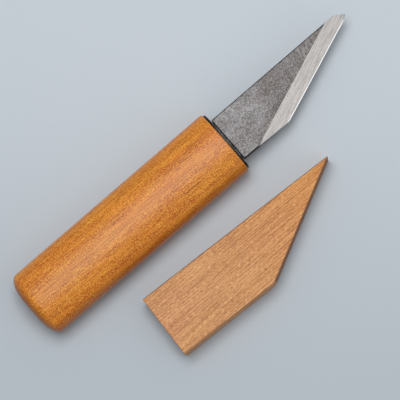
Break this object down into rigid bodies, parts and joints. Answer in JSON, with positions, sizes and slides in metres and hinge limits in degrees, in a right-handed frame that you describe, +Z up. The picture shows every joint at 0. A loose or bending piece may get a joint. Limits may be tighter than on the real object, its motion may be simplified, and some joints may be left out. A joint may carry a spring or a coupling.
{
  "type": "whittling knife",
  "caption": "Skew-edged single-bevel whittling knife with an oval wooden handle and a thin black front plate, lying beside its loose wooden sheath.",
  "frame": {"origin": "bottom centre of the whole object's box, on the surface that the knife and its sheath lie on", "axes": "+X along the knife from the butt towards the blade's tip, +Y from the cutting edge towards the blade's back, +Z up, away from the surface"},
  "size_m": [0.1774, 0.0722, 0.0205],
  "materials": {
    "blade_steel": "dull grey forged faces with dark specks, and a bright ground bevel",
    "handle_wood": "orange stain under satin lacquer",
    "adhesive": "dark cured adhesive",
    "black_plate": "semi-gloss black",
    "sheath_wood": "plain sanded, unfinished"
  },
  "bodies": {
    "knife": {"blade": "blade_steel", "handle": "handle_wood", "front_plate": "black_plate", "tang_adhesive": "adhesive"},
    "sheath": {"sheath_pocket_half": "sheath_wood", "sheath_lid_half": "sheath_wood"}
  },
  "joints": [
    {"name": "sheath_slide", "type": "slide", "parent": "knife", "child": "sheath", "axis": [1, 0, 0], "range_m": [0, 0.145]}
  ]
}
